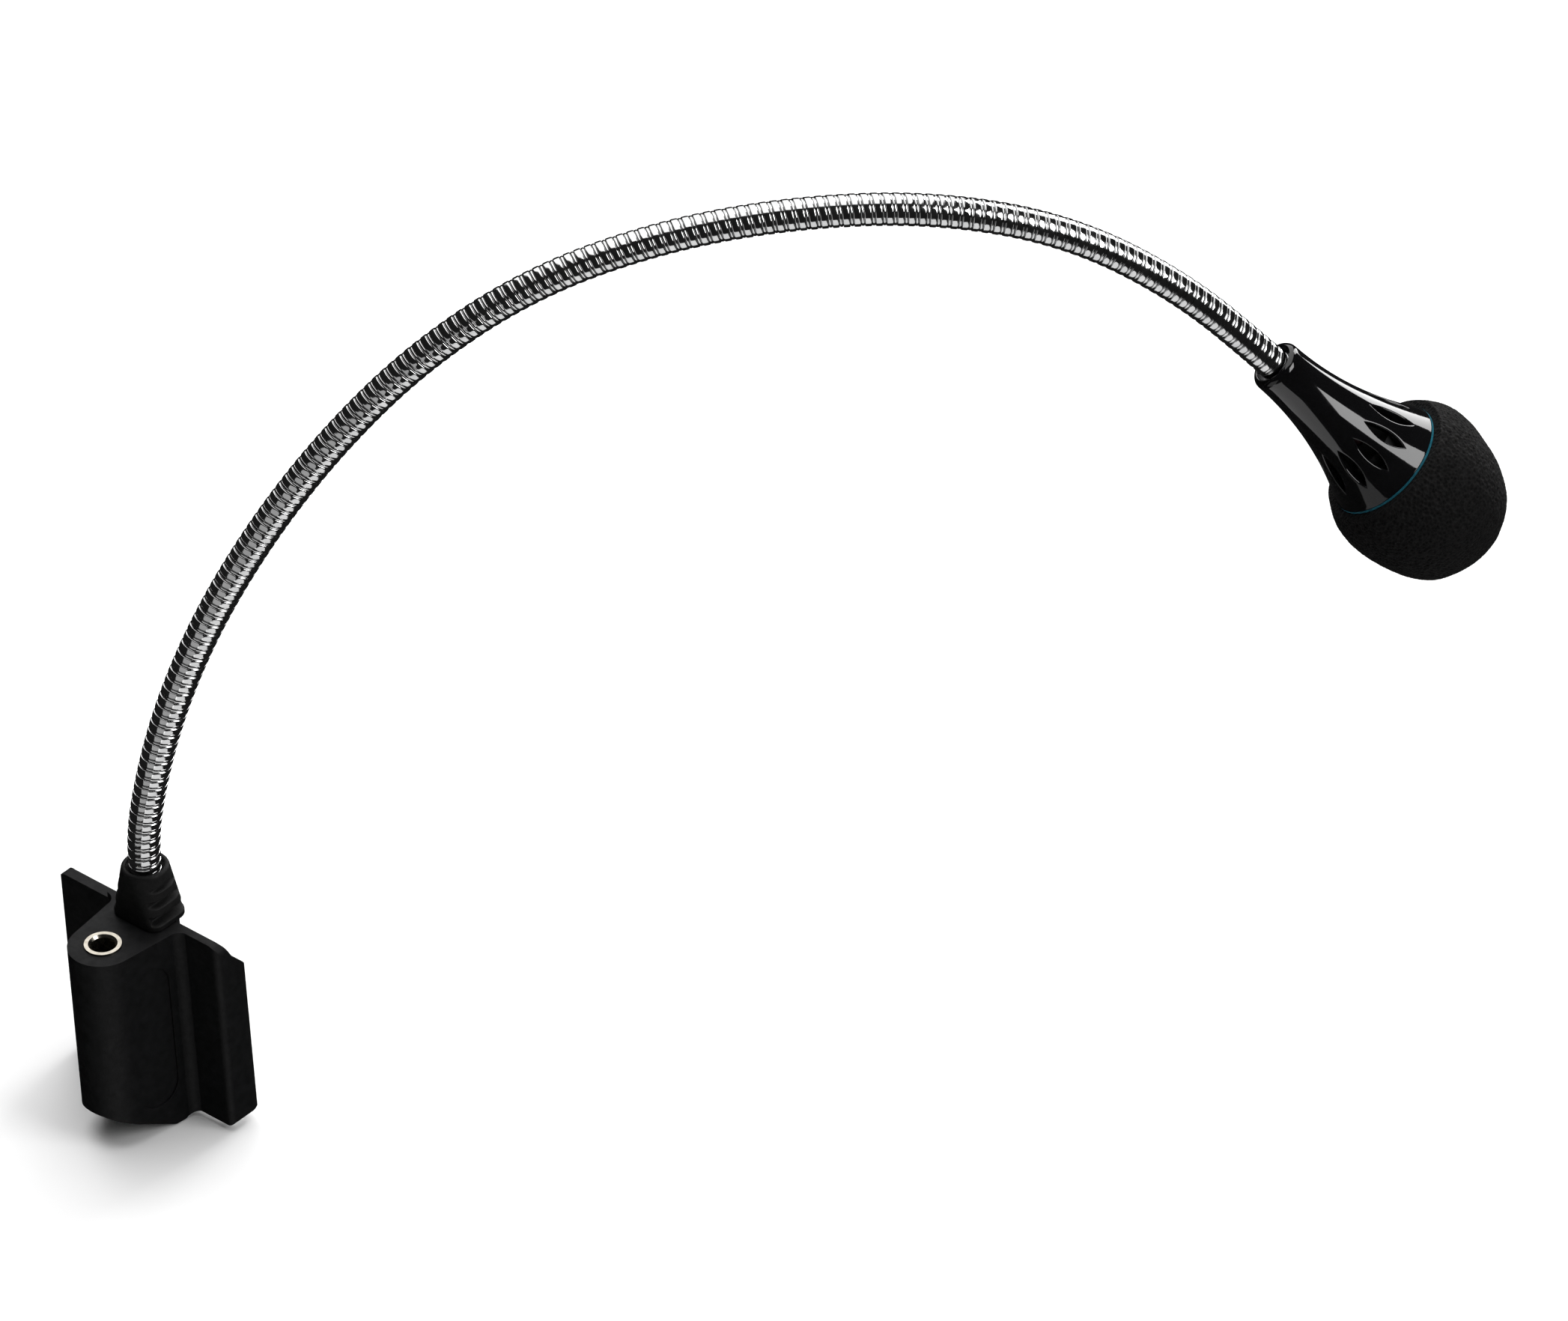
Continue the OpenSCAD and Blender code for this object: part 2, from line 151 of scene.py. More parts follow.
def surface(name, dark, light, grain, rough, bumps, metallic=0.0, spec=0.5, coat=0.0, coat_rough=0.1,
            painted_gap_shade=None):
    """A procedural material: colour varies from dark to light over patches of a grain in mm,
    roughness within a range, and bumps is a list of (size in mm, height in mm, detail). The
    painted_gap_shade colour is painted shade that the mesh's own painted_gap_shade attribute mixes in."""
    mat, nodes, links, shader = new_material(name)
    shader.inputs["Metallic"].default_value = metallic
    shader.inputs["Specular IOR Level"].default_value = spec
    shader.inputs["Coat Weight"].default_value = coat
    shader.inputs["Coat Roughness"].default_value = coat_rough
    coords = nodes.new("ShaderNodeTexCoord")

    def noise_node(size, detail):
        node = nodes.new("ShaderNodeTexNoise")
        node.inputs["Scale"].default_value = 1 / (size * MM)
        node.inputs["Detail"].default_value = detail
        links.new(coords.outputs["Object"], node.inputs["Vector"])
        return node

    tone = noise_node(grain, 4)
    ramp = nodes.new("ShaderNodeValToRGB")
    ramp.color_ramp.elements[0].position = NOISE_LOW
    ramp.color_ramp.elements[0].color = (*dark, 1)
    ramp.color_ramp.elements[1].position = NOISE_HIGH
    ramp.color_ramp.elements[1].color = (*light, 1)
    links.new(tone.outputs["Fac"], ramp.inputs["Fac"])
    colour = ramp.outputs["Color"]
    # Painted shade: the painted_gap_shade attribute darkens the colour in the gaps between the neck's
    # wires
    if painted_gap_shade:
        gaps = nodes.new("ShaderNodeAttribute")
        gaps.attribute_name = "painted_gap_shade"
        blend = nodes.new("ShaderNodeMix")
        blend.data_type = "RGBA"
        blend.inputs["B"].default_value = (*painted_gap_shade, 1)
        links.new(gaps.outputs["Fac"], blend.inputs["Factor"])
        links.new(colour, blend.inputs["A"])
        colour = blend.outputs["Result"]
    links.new(colour, shader.inputs["Base Color"])

    wear = noise_node(grain * WEAR_SIZE, 3)
    wear_range = nodes.new("ShaderNodeMapRange")
    wear_range.inputs["From Min"].default_value = NOISE_LOW
    wear_range.inputs["From Max"].default_value = NOISE_HIGH
    wear_range.inputs["To Min"].default_value = rough[0]
    wear_range.inputs["To Max"].default_value = rough[1]
    links.new(wear.outputs["Fac"], wear_range.inputs["Value"])
    links.new(wear_range.outputs["Result"], shader.inputs["Roughness"])

    below = None
    for size, height, detail in bumps:
        relief = noise_node(size, detail)
        bump = nodes.new("ShaderNodeBump")
        bump.inputs["Strength"].default_value = 1.0
        bump.inputs["Distance"].default_value = height * MM
        links.new(relief.outputs["Fac"], bump.inputs["Height"])
        if below:
            links.new(below.outputs["Normal"], bump.inputs["Normal"])
        below = bump
    if below:
        links.new(below.outputs["Normal"], shader.inputs["Normal"])
    return mat


BASE = surface("base_plastic", (0.003, 0.003, 0.0032), (0.0055, 0.0055, 0.006), 1.4, (0.5, 0.62),
               [(0.16, 0.012, 2), (0.6, 0.01, 2)], spec=0.16)
INNER = surface("inner_plastic", (0.004, 0.004, 0.004), (0.008, 0.008, 0.008), 1.0, (0.45, 0.6),
                [(0.4, 0.01, 2)], spec=0.2)
GLOSS = surface("gloss_black", (0.0018, 0.0018, 0.002), (0.003, 0.003, 0.0034), 6, (0.05, 0.09),
                [(3.5, 0.002, 1)], spec=0.5, coat=0.4, coat_rough=0.03)
BOOT = surface("boot_rubber", (0.0035, 0.0035, 0.0035), (0.006, 0.006, 0.006), 1.2, (0.55, 0.68),
               [(0.2, 0.01, 2)], spec=0.2)
SLEEVE = surface("sleeve_rubber", (0.02, 0.02, 0.02), (0.05, 0.05, 0.05), 1.0, (0.6, 0.75),
                 [(0.2, 0.02, 3)])
# The neck's chrome gets painted shade, a near-black colour, in the gaps between its wires
CHROME = surface("neck_chrome", (0.66, 0.665, 0.67), (0.8, 0.8, 0.8), 3, (0.06, 0.14),
                 [(0.5, 0.002, 2)], metallic=1.0, painted_gap_shade=(0.01, 0.01, 0.01))
CABLE = surface("cable_jacket", (0.012, 0.012, 0.013), (0.03, 0.03, 0.03), 1.0, (0.4, 0.6),
                [(0.25, 0.01, 2)])
NICKEL = surface("nickel", (0.5, 0.46, 0.39), (0.64, 0.6, 0.52), 0.9, (0.12, 0.26),
                 [(0.25, 0.004, 2)], metallic=1.0)
STEEL = surface("ferrule_steel", (0.34, 0.34, 0.35), (0.56, 0.56, 0.57), 1.0, (0.25, 0.4),
                [(0.15, 0.006, 2)], metallic=1.0)
BRASS = surface("contact_brass", (0.55, 0.42, 0.18), (0.75, 0.6, 0.3), 0.8, (0.2, 0.35),
                [(0.2, 0.004, 2)], metallic=1.0)
CAPSULE = surface("capsule_metal", (0.5, 0.51, 0.52), (0.68, 0.69, 0.7), 1.0, (0.22, 0.34),
                  [(0.15, 0.004, 2)], metallic=1.0)
BOARD = surface("board", (0.01, 0.06, 0.025), (0.02, 0.12, 0.05), 0.8, (0.3, 0.45),
                [(0.3, 0.01, 2)], coat=0.3)
WIRE = surface("wire", (0.012, 0.003, 0.003), (0.02, 0.005, 0.005), 0.8, (0.35, 0.5),
               [(0.2, 0.005, 2)])
TEAL = surface("teal_ring", (0.007, 0.07, 0.1), (0.018, 0.13, 0.18), 0.8, (0.25, 0.4),
               [(0.3, 0.006, 2)])
FELT = surface("felt", (0.006, 0.006, 0.006), (0.02, 0.02, 0.02), 0.4, (0.85, 0.95),
               [(0.12, 0.05, 4)], spec=0.2)


def foam_material():
    """Open-cell foam: painted shade darkens the round cells' hollows, with lighter struts between them.
    """
    mat, nodes, links, shader = new_material("foam")
    shader.inputs["Specular IOR Level"].default_value = 0.12
    shader.inputs["Sheen Weight"].default_value = 0.01
    shader.inputs["Sheen Roughness"].default_value = 0.6
    coords = nodes.new("ShaderNodeTexCoord")
    cells = nodes.new("ShaderNodeTexVoronoi")
    cells.inputs["Scale"].default_value = 1 / (0.55 * MM)
    cells.inputs["Randomness"].default_value = 1.0
    links.new(coords.outputs["Object"], cells.inputs["Vector"])
    # Painted shade: darkest at each cell's middle, where the bump below sinks it into a pit
    ramp = nodes.new("ShaderNodeValToRGB")
    ramp.color_ramp.elements[0].position = 0.12
    ramp.color_ramp.elements[0].color = (0.0008, 0.0008, 0.0008, 1)
    ramp.color_ramp.elements[1].position = 0.62
    ramp.color_ramp.elements[1].color = (0.0038, 0.0036, 0.0035, 1)
    links.new(cells.outputs["Distance"], ramp.inputs["Fac"])
    links.new(ramp.outputs["Color"], shader.inputs["Base Color"])
    rough = nodes.new("ShaderNodeMapRange")
    rough.inputs["To Min"].default_value = 0.9
    rough.inputs["To Max"].default_value = 0.6
    links.new(cells.outputs["Distance"], rough.inputs["Value"])
    links.new(rough.outputs["Result"], shader.inputs["Roughness"])
    bump = nodes.new("ShaderNodeBump")
    bump.inputs["Distance"].default_value = 0.22 * MM
    links.new(cells.outputs["Distance"], bump.inputs["Height"])
    links.new(bump.outputs["Normal"], shader.inputs["Normal"])
    return mat


FOAM = foam_material()

NODE_MATERIALS = {
    "base_housing": BASE, "bottom_cover": BASE, "jack_bushing": NICKEL, "jack_body": INNER,
    "jack_tip_contact": BRASS, "jack_ring_contact": BRASS, "jack_board": BOARD,
    "lead_wires": WIRE, "strain_relief_boot": BOOT, "root_ferrule": STEEL,
    "root_grub_screw": STEEL, "head_ferrule": STEEL, "head_shell": GLOSS, "rim_ring": TEAL,
    "capsule_basket": INNER, "capsule_sleeve": SLEEVE, "capsule_can": CAPSULE,
    "capsule_board": BOARD, "capsule_felt": FELT, "head_leads": WIRE, "foam_windscreen": FOAM,
}
for i in range(LAST + 1):
    NODE_MATERIALS["neck_link_%02d" % i] = CHROME
    NODE_MATERIALS["cable_core_%02d" % i] = CABLE
for name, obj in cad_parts.items():
    obj.data.materials.clear()
    obj.data.materials.append(NODE_MATERIALS[name])

# ---- Making meshes ----


def clamp(x):
    return min(1.0, max(0.0, x))


def smooth(low, high, x):
    """From 0 at low to 1 at high, with an even start and end."""
    t = clamp((x - low) / (high - low))
    return t * t * (3 - 2 * t)


def ring_faces(count, size, first=0, wrap=False):
    """Faces between neighbouring rings of points; wrap also joins the last ring to the first."""
    faces = []
    for r in range(count if wrap else count - 1):
        a = first + r * size
        b = first + (r + 1) % count * size
        for j in range(size):
            k = (j + 1) % size
            faces.append((a + j, a + k, b + k, b + j))
    return faces


def add_mesh(name, verts, faces, mat, smooth_faces=True):
    mesh = bpy.data.meshes.new(name)
    mesh.from_pydata(verts, [], faces)
    mesh.materials.append(mat)
    mesh.validate()
    mesh.polygons.foreach_set("use_smooth", [smooth_faces] * len(mesh.polygons))
    mesh.update()
    obj = bpy.data.objects.new(name, mesh)
    bpy.context.scene.collection.objects.link(obj)
    return obj


def join_points(obj, distance):
    """Makes one skin of stretches that meet, and turns all its faces outwards."""
    bm = bmesh.new()
    bm.from_mesh(obj.data)
    bmesh.ops.remove_doubles(bm, verts=bm.verts, dist=distance)
    bmesh.ops.recalc_face_normals(bm, faces=bm.faces)
    bm.to_mesh(obj.data)
    bm.free()


# ---- Neck: a right-handed winding of a wide and a narrow wire ----

LINK_TURNS = 12.5
TURN = LINK_PITCH / LINK_TURNS
# Turns that run on down into the base, and up into the head's collar
ROOT_TURNS = 9
HEAD_TURNS = 3
# The wide wire's share of a turn, and how deep in mm the gaps and the narrow wire's crest lie
WIDE = 0.66
GAP_DEPTH = 0.34
NARROW_DEPTH = 0.09
# The higher, the squarer the wire's section
WIDE_POWER = 6.0
NARROW_POWER = 2.6
# Share of the gap's depth at which the painted shade starts, and over which it grows to full
PAINTED_SHADE_START = 0.34
PAINTED_SHADE_REACH = 0.4
AROUND = 44
# Places of the mesh's rows across one wire, from 0 to 1, closest at its edges
WIRE_STEPS = [0, 0.012, 0.035, 0.08, 0.15, 0.3, 0.5, 0.7, 0.85, 0.92, 0.965, 0.988]
PROFILE = [f * WIDE for f in WIRE_STEPS] + [WIDE + f * (1 - WIDE) for f in WIRE_STEPS]
# Length in mm of neck each side of a joint that takes up its bend
BLEND_REACH = 6


def wire_depth(f):
    """Depth in mm of the winding's surface under the neck's outer radius, at a fraction of a turn."""
    if f <= WIDE:
        t, top, power = abs(2 * f / WIDE - 1), 0.0, WIDE_POWER
    else:
        t, top, power = abs(2 * (f - WIDE) / (1 - WIDE) - 1), NARROW_DEPTH, NARROW_POWER
    return top + (GAP_DEPTH - top) * (1 - (1 - min(1, t) ** power) ** (1 / power))


def winding(first, stop):
    """Points, faces and each point's painted shade, which grows with its depth in a gap, for the
    winding between two turn numbers.
    """
    verts, faces, painted_gap_shade = [], [], []
    rows = [(n, f) for n in range(first, stop) for f in PROFILE] + [(stop, 0)]
    for n, f in rows:
        depth = wire_depth(f)
        for j in range(AROUND + 1):
            phi = 2 * math.pi * j / AROUND
            point, lean = neck_point((n + f + j / AROUND) * TURN)
            out = across(lean)
            side = along(lean).cross(out)
            verts.append((point + (out * math.cos(phi) + side * math.sin(phi)) * (NECK_R - depth)) * MM)
            # Painted shade: the deeper a point lies in a gap between the wires, the darker it is
            # painted
            painted_gap_shade.append(clamp((depth / GAP_DEPTH - PAINTED_SHADE_START) / PAINTED_SHADE_REACH))
    size = AROUND + 1
    for r in range(len(rows) - 1):
        for j in range(AROUND):
            a = r * size + j
            faces.append((a, a + 1, a + size + 1, a + size))
    return verts, faces, painted_gap_shade


def build_neck():
    """One length of winding over each joint, bent with it."""
    for k in range(1, LAST + 1):
        first = -ROOT_TURNS if k == 1 else round(LINK_TURNS * (k - 1))
        stop = round(LINK_TURNS * k) + (HEAD_TURNS if k == LAST else 0)
        verts, faces, painted_gap_shade = winding(first, stop)
        skin = add_mesh("neck_winding_%02d" % k, verts, faces, CHROME)
        # The painted shade goes on the mesh as a point attribute
        skin.data.attributes.new("painted_gap_shade", "FLOAT", "POINT").data.foreach_set("value", painted_gap_shade)
        join_points(skin, 1e-6)
        joint_at = LINK_PITCH * (k - 0.5)
        start = neck_point(joint_at - BLEND_REACH)[0] * MM
        end = neck_point(joint_at + BLEND_REACH)[0] * MM
        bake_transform(skin)
        links = ["neck_link_00"] if k == 1 else []
        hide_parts(*links, "neck_link_%02d" % k)


build_neck()

# ---- Head shell: one profile turned round, with twelve pointed vents ----
# Millimetres, with heights w from the collar's edge towards the foam

SHELL_L = 24.6
COLLAR_R = 3.95
RIM_R = 9.2
SHELL_T = 1.2
# Rounding of the collar's edge, and of the rim's
LIP = 1.1
RIM_EDGE = 0.12
# The bore that takes the neck, and the floor of the cavity above it
BORE_R = 2.95
BORE_L = 11
CAVITY_R = 4.0
CAVITY_FLOOR = 12
# The outside is an arc from the collar to the rim
FLARE_START = 1.0
FLARE_ANGLE = 2 * math.atan((RIM_R - COLLAR_R) / (SHELL_L - FLARE_START))
FLARE_R = (SHELL_L - FLARE_START) / math.sin(FLARE_ANGLE)
VENTS = 12
VENT_AT = 18.4
VENT_HALF_L = 3.2
VENT_HALF_W = 0.85
# Radius of a vent's rounded edge, and how many times that radius its tips draw back
VENT_ROUND = 0.22
TIP_STRETCH = 1.7
# Each vent sits in a block of the wall: half its height, its columns, and its points a quarter
BLOCK_HALF = 4.5
COLUMNS = 8
QUARTER = 16


def shell_point(w, phi, depth=0.0):
    """A point on the shell at a height and angle, in mm in the head's frame, sunk by a depth."""
    slope = math.asin(max(0.0, w - FLARE_START) / FLARE_R)
    radius = COLLAR_R + FLARE_R * (1 - math.cos(slope)) - depth * math.cos(slope)
    return Vector((radius * math.cos(phi), radius * math.sin(phi), w + depth * math.sin(slope)))


def block_edge(step):
    """Outline of a block, a quarter from its top middle to its side middle: x and y from 0 to 1."""
    corner = COLUMNS // 2
    if step <= corner:
        return step / corner, 1.0
    return 1.0, 1 - (step - corner) / (QUARTER - corner)


def lens_edge(step, grow):
    """Outline of a vent, a quarter from its tip to its side middle, in mm."""
    half_l = VENT_HALF_L + grow * TIP_STRETCH
    half_w = VENT_HALF_W + grow
    arc_r = (half_l ** 2 + half_w ** 2) / (2 * half_w)
    y = half_l * math.cos(step / QUARTER * math.pi / 2)
    return math.sqrt(arc_r ** 2 - y ** 2) - (arc_r - half_w), y


def ring_steps():
    """Every step once round a block, as a quarter's step and the signs of x and y."""
    steps = [(i, 1, 1) for i in range(QUARTER)]
    steps += [(i, 1, -1) for i in range(QUARTER, 0, -1)]
    steps += [(i, -1, -1) for i in range(QUARTER)]
    steps += [(i, -1, 1) for i in range(QUARTER, 0, -1)]
    return steps


def vent_rings(middle):
    """Rings of points from a block's outline into its vent, through the wall and out on the inside."""
    half_phi = math.pi / VENTS
    radius = shell_point(VENT_AT, 0).x
    # Each ring's place from the block's outline to the vent's, its growth and its depth
    layers = [0, 0.3, 0.55, 0.75, 0.9, 1.0]
    plan = [(f, VENT_ROUND, 0.0) for f in layers]
    for turn in (30, 60, 90):
        a = math.radians(turn)
        plan.append((1.0, VENT_ROUND * (1 - math.sin(a)), VENT_ROUND * (1 - math.cos(a))))
    plan.append((1.0, 0.0, SHELL_T * 0.6))
    plan += [(f, 0.0, SHELL_T) for f in reversed(layers)]
    rings = []
    for f, grow, depth in plan:
        ring = []
        for step, sx, sy in ring_steps():
            block_x, block_y = block_edge(step)
            lens_x, lens_y = lens_edge(step, grow)
            phi = block_x * half_phi * (1 - f) + lens_x / radius * f
            w = block_y * BLOCK_HALF * (1 - f) + lens_y * f
            ring.append(shell_point(VENT_AT + sy * w, middle + sx * phi, depth))
        rings.append(ring)
    return rings


def turned(points):
    """Rings made by turning (radius, height) points round the head's axis."""
    around = VENTS * COLUMNS
    angles = [2 * math.pi * j / around for j in range(around)]
    return [[Vector((r * math.cos(a), r * math.sin(a), w)) for a in angles] for r, w in points]


def wall(first, last, depth, count):
    """(radius, height) points on the shell's wall between two heights, sunk by a depth."""
    points = [shell_point(first + (last - first) * i / count, 0, depth) for i in range(count + 1)]
    return [(p.x, p.z) for p in points]


def lower_profile(high):
    """From the cavity's wall down through the bore, round the collar's edge and up the outside."""
    cavity = wall(CAVITY_FLOOR, high, SHELL_T, 3)[:0:-1] + [(CAVITY_R, CAVITY_FLOOR)]
    bore = [(BORE_R + 0.9, BORE_L)] + [(BORE_R, w) for w in (BORE_L, 6, 2, 0.4, 0.15)]
    lip = []
    for i in range(13):
        a = math.pi / 2 * (1 - i / 12)
        r = COLLAR_R - LIP + LIP * math.cos(a)
        if r >= BORE_R + 0.05:
            lip.append((r, LIP - LIP * math.sin(a)))
    return cavity + bore + lip + wall(LIP, high, 0, 26)[1:]


def upper_profile(low):
    """From the outside over the rim and back down the inside."""
    outer = shell_point(SHELL_L, 0).x
    inner = shell_point(SHELL_L, 0, SHELL_T).x
    rim = [(outer - RIM_EDGE / 6, SHELL_L - RIM_EDGE / 2), (outer - RIM_EDGE, SHELL_L),
           (inner + 0.1, SHELL_L)]
    outside = wall(low, SHELL_L - RIM_EDGE * 1.25, 0, 4)
    inside = wall(low, SHELL_L - SHELL_T / 2, SHELL_T, 3)[::-1]
    return outside + rim + inside


def build_shell():
    stretches = [vent_rings((v + 0.5) * 2 * math.pi / VENTS) for v in range(VENTS)]
    stretches.append(turned(lower_profile(VENT_AT - BLOCK_HALF)))
    stretches.append(turned(upper_profile(VENT_AT + BLOCK_HALF)))
    verts, faces = [], []
    for rings in stretches:
        faces += ring_faces(len(rings), len(rings[0]), first=len(verts))
        verts += [head_place(*point) for ring in rings for point in ring]
    shell = add_mesh("head_shell_gloss", verts, faces, GLOSS)
    join_points(shell, 2e-6)
    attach(shell, "head")
    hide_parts("head_shell")


build_shell()

# ---- Strain relief boot ----
# Millimetres, with heights from the base's top

BOOT_H = BOOT_TOP - Z_TOP
# Half width and half depth at the foot, the rounding of its corners, and the round top's radius
BOOT_HALF = (4.6, 3.7)
BOOT_CORNER = 1.9
BOOT_TOP_R = 3.55
# Straight stretches under and over the taper, and the rounding of the top's edge
BOOT_FOOT = 0.8
BOOT_CAP = 0.4
BOOT_EDGE = 0.5
# Bottom and height of each groove, the half width of its soft flanks, and how far out its floor is
GROOVES = ((1.1, 1.25), (3.8, 0.95), (6.2, 0.55))
GROOVE_FLANK = 0.2
GROOVE_FLOOR = 3.0
# Gap round the neck and its depth
MOUTH_GAP = 0.45
MOUTH_DEPTH = 0.6


def boot_outline():
    """Pairs of corner and outward direction, once round the boot."""
    corners = [(1, 1), (-1, 1), (-1, -1), (1, -1)]
    arc, flat = 9, 7
    pairs = []
    for q, (cx, cy) in enumerate(corners):
        for i in range(arc + 1):
            a = math.pi / 2 * (q + i / arc)
            pairs.append(((cx, cy), (math.cos(a), math.sin(a))))
        nx, ny = corners[(q + 1) % 4]
        a = math.pi / 2 * (q + 1)
        for i in range(1, flat):
            t = i / flat
            pairs.append(((cx + (nx - cx) * t, cy + (ny - cy) * t), (math.cos(a), math.sin(a))))
    return pairs


def boot_point(pair, z, inset):
    """A point on the boot's outside: the foot's rounded box narrows to a round top."""
    (cx, cy), (nx, ny) = pair
    t = clamp((z - BOOT_FOOT) / (BOOT_H - BOOT_FOOT - BOOT_CAP))
    reach = BOOT_CORNER * (1 - t) + BOOT_TOP_R * t - inset
    x = cx * (BOOT_HALF[0] - BOOT_CORNER) * (1 - t) + nx * reach
    y = cy * (BOOT_HALF[1] - BOOT_CORNER) * (1 - t) + ny * reach
    cut = 0.0
    for low, height in GROOVES:
        entry = smooth(low - GROOVE_FLANK, low + GROOVE_FLANK, z)
        high = low + height
        cut = max(cut, entry - smooth(high - GROOVE_FLANK, high + GROOVE_FLANK, z))
    # The grooves fade out just short of the face towards the socket
    cut *= smooth(0.3 - BOOT_HALF[1], 0.9 - BOOT_HALF[1], y)
    x -= math.copysign(max(0.0, abs(x) - GROOVE_FLOOR) * cut, x)
    return Vector((x, NECK_Y + y, Z_TOP + z))


def build_boot():
    pairs = boot_outline()
    # Each ring of the outside, as its height and how far it is drawn in
    outside = [(0.0, 0.25), (0.06, 0.08), (0.2, 0.0)]
    z = 0.3
    while z < BOOT_H - BOOT_EDGE - 0.12:
        outside.append((z, 0.0))
        z += 0.1
    for i in range(7):
        a = math.pi / 2 * i / 6
        outside.append((BOOT_H - BOOT_EDGE + BOOT_EDGE * math.sin(a), BOOT_EDGE * (1 - math.cos(a))))
    # Each ring of the mouth and the bore, as its gap round the neck and its height
    inside = [(MOUTH_GAP + 0.17, BOOT_H), (MOUTH_GAP + 0.05, BOOT_H - 0.05), (MOUTH_GAP, BOOT_H - 0.2),
              (MOUTH_GAP, BOOT_H - MOUTH_DEPTH), (0.05, BOOT_H - MOUTH_DEPTH), (0.05, 0.0)]
    verts = [boot_point(pair, z, inset) * MM for z, inset in outside for pair in pairs]
    for gap, z in inside:
        for _, (nx, ny) in pairs:
            verts.append(Vector((nx * (NECK_R + gap), NECK_Y + ny * (NECK_R + gap), Z_TOP + z)) * MM)
    faces = ring_faces(len(outside) + len(inside), len(pairs), wrap=True)
    boot = add_mesh("strain_relief", verts, faces, BOOT)
    join_points(boot, 2e-6)
    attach(boot, "base")
    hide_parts("strain_relief_boot")


build_boot()

# ---- Foam ball ----
# Millimetres, with heights from the ball's centre

FOAM_R = 13.0
# Height of the centre over the shell's rim, and the room that the teal ring takes
FOAM_RISE = 8.1
RING_ROOM = 0.4
FOAM_LOW = RING_ROOM - FOAM_RISE
FOAM_MOUTH_R = 6.95
# How far the uncut surface stands out, so that its cells lie at the ball's own radius
FOAM_SPARE = 0.15
# A slow unevenness of the ball
SWELL = 0.16
# The cells: their noise's scale, how steep and how deep they are, and a fine roughness over them
CELL_DENSITY = 1.55
CELL_STEEPNESS = 2.2
CELL_DEPTH = 0.2
ROUGHNESS = 0.03
# How far the single point at the tip lies inside the ball's radius
TIP_SUNK = 0.35
# Directions in the model's frame in which the soft ball is pressed flatter, with depth and reach
PRESSED = (((-0.06, -0.76, -0.65), 1.0, 0.6), ((0.43, 0.83, 0.36), 1.35, 0.6))


def foam_radius(direction):
    """Radius of the ball along a direction in the head's frame, before its cells."""
    world_direction = HEAD_X * direction.x + HEAD_Y * direction.y + HEAD_Z * direction.z
    radius = FOAM_R + FOAM_SPARE + SWELL * noise.fractal(direction * 2.2, 1.0, 2.0, 2)
    for pressed, depth, reach in PRESSED:
        angle = world_direction.angle(Vector(pressed))
        radius -= depth * math.exp(-(angle / reach) ** 2)
    return radius


def build_foam():
    """Rings from the mouth out over the flat underside, and then up the ball to its tip."""
    flat_rings, ball_rings, around, fade_rings = 12, 200, 330, 4
    start = math.acos(FOAM_LOW / FOAM_R)
    rng = random.Random(7)
    centre_w = SHELL_L + FOAM_RISE
    count = flat_rings + ball_rings
    verts = []
    for i in range(count):
        polar = start * (1 - max(0, i - flat_rings) / ball_rings)
        for j in range(around):
            a = 2 * math.pi * (j + 0.5 * (i % 2)) / around
            direction = Vector((math.sin(polar) * math.cos(a), math.sin(polar) * math.sin(a),
                                math.cos(polar)))
            v = direction * foam_radius(direction)
            if i < flat_rings:
                out = (v.x ** 2 + v.y ** 2) ** 0.5
                reach = FOAM_MOUTH_R + (out - FOAM_MOUTH_R) * i / flat_rings
                v = Vector((v.x / out * reach, v.y / out * reach, FOAM_LOW))
            else:
                nearest = noise.voronoi(direction * FOAM_R * CELL_DENSITY)[0]
                cell = clamp((nearest[1] - nearest[0]) * CELL_STEEPNESS)
                fade = clamp((i - flat_rings) / fade_rings)
                v -= direction * fade * (CELL_DEPTH * cell + ROUGHNESS * rng.random())
            verts.append(head_place(v.x, v.y, v.z + centre_w))
    faces = ring_faces(count, around)
    tip = len(verts)
    verts.append(head_place(0, 0, centre_w + FOAM_R - TIP_SUNK))
    last_ring = tip - around
    faces += [(last_ring + j, last_ring + (j + 1) % around, tip) for j in range(around)]
    foam = add_mesh("foam_ball", verts, faces, FOAM)
    join_points(foam, 1e-6)
    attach(foam, "head")
    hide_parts("foam_windscreen")


build_foam()

# ---- Soft edges on the moulded and turned CAD pieces ----

EDGE_WIDTHS = {"base_housing": 0.22, "jack_bushing": 0.08, "rim_ring": 0.06}
for name, width in EDGE_WIDTHS.items():
    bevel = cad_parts[name].modifiers.new("soft_edges", "BEVEL")
    bevel.width = width * MM
    bevel.segments = 3
    bevel.limit_method = "ANGLE"
    bevel.angle_limit = math.radians(38)
    bevel.harden_normals = True


def heading(azimuth, elevation):
    """Direction from the object, with the azimuth in degrees from +X towards +Y."""
    a, e = math.radians(azimuth), math.radians(elevation)
    return Vector((math.cos(a) * math.cos(e), math.sin(a) * math.cos(e), math.sin(e)))


# ---- Camera ----

AZIMUTH = -44.4
ELEVATION = 37
ROLL = math.radians(4.5)
SENSOR = 36
# Metres: width of the view at the object, the camera's distance, and its aim from the socket's top
VIEW_WIDTH = 0.2252
DISTANCE = 4.0
AIM_RIGHT = 0.09782
AIM_UP = 0.0408


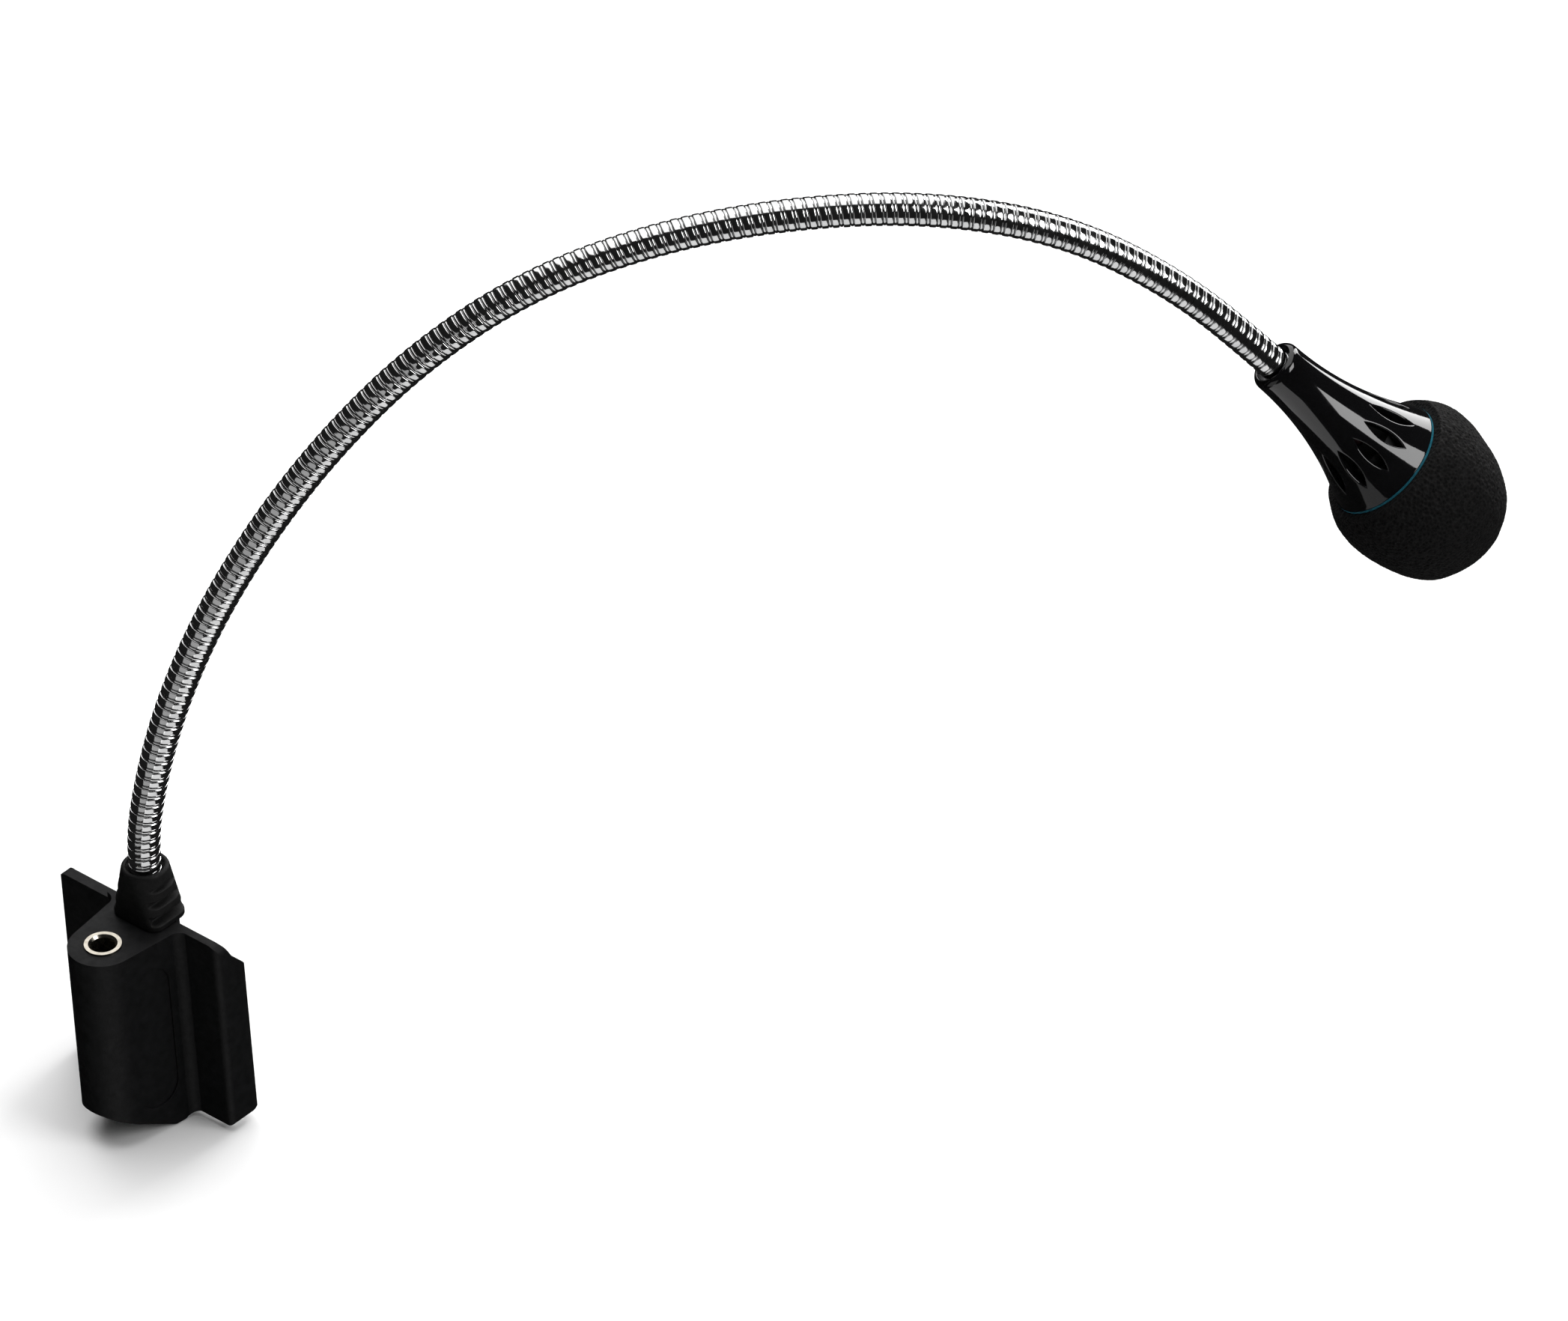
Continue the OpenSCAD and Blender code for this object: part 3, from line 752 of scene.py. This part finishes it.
def build_camera():
    toward = heading(AZIMUTH, ELEVATION)
    level = UP.cross(toward).normalized()
    upright = toward.cross(level)
    right = level * math.cos(ROLL) - upright * math.sin(ROLL)
    up = level * math.sin(ROLL) + upright * math.cos(ROLL)
    socket_top = Vector((0, JACK_Y, Z_TOP)) * MM
    aim = socket_top + right * AIM_RIGHT + up * AIM_UP
    data = bpy.data.cameras.new("camera")
    data.sensor_width = SENSOR
    data.lens = SENSOR * DISTANCE / VIEW_WIDTH
    data.clip_start = 0.1
    data.clip_end = 100
    camera = bpy.data.objects.new("camera", data)
    bpy.context.scene.collection.objects.link(camera)
    turn = Matrix((right, up, toward)).transposed().to_4x4()
    camera.matrix_world = Matrix.Translation(aim + toward * DISTANCE) @ turn
    bpy.context.scene.camera = camera


build_camera()

# ---- Floor and light ----

OBJECT_MIDDLE = Vector((0.055, 0.06, 0.05))
FLOOR_HALF = 30
FLOOR_GAP = 0.0002


def softbox(name, direction, distance, size, power):
    data = bpy.data.lights.new(name, "AREA")
    data.shape = "RECTANGLE"
    data.size, data.size_y = size
    data.energy = power
    light = bpy.data.objects.new(name, data)
    bpy.context.scene.collection.objects.link(light)
    light.location = OBJECT_MIDDLE + direction * distance
    light.rotation_euler = direction.to_track_quat("Z", "Y").to_euler()
    return light


def build_floor():
    """Pale floor. The shiny pieces reflect the soft boxes and not the floor's open expanse."""
    z = base_low.z - FLOOR_GAP
    corners = [(x * FLOOR_HALF, y * FLOOR_HALF, z) for x, y in ((-1, -1), (1, -1), (1, 1), (-1, 1))]
    mat = surface("studio_floor", (0.86, 0.86, 0.86), (0.9, 0.9, 0.9), 400, (0.85, 0.95), [])
    floor = add_mesh("floor", corners, [(0, 1, 2, 3)], mat, smooth_faces=False)
    floor.visible_glossy = False


def build_world():
    """Nearly dark, so that the chrome has black between its lights."""
    world = bpy.data.worlds.new("studio")
    bpy.context.scene.world = world
    world.use_nodes = True
    background = world.node_tree.nodes["Background"]
    background.inputs["Color"].default_value = (1.0, 1.0, 1.0, 1)
    background.inputs["Strength"].default_value = 0.012


build_floor()
build_world()
softbox("overhead", heading(142, 60), 1.3, (1.3, 2.6), 15)
softbox("strip_right", heading(96, 22), 1.2, (0.42, 1.0), 7.5)
softbox("strip_front", heading(13, 32), 1.2, (0.62, 0.8), 8.0)
# These two stand below the floor, and show only in reflections
softbox("bounce_low", heading(-50, -50), 0.6, (0.5, 0.6), 0.8)
softbox("bounce_side", heading(-88, -8), 0.9, (0.75, 0.75), 0.7)
softbox("room", heading(120, 70), 1.6, (2.4, 2.4), 32).visible_glossy = False
bpy.context.scene.view_settings.view_transform = "Standard"
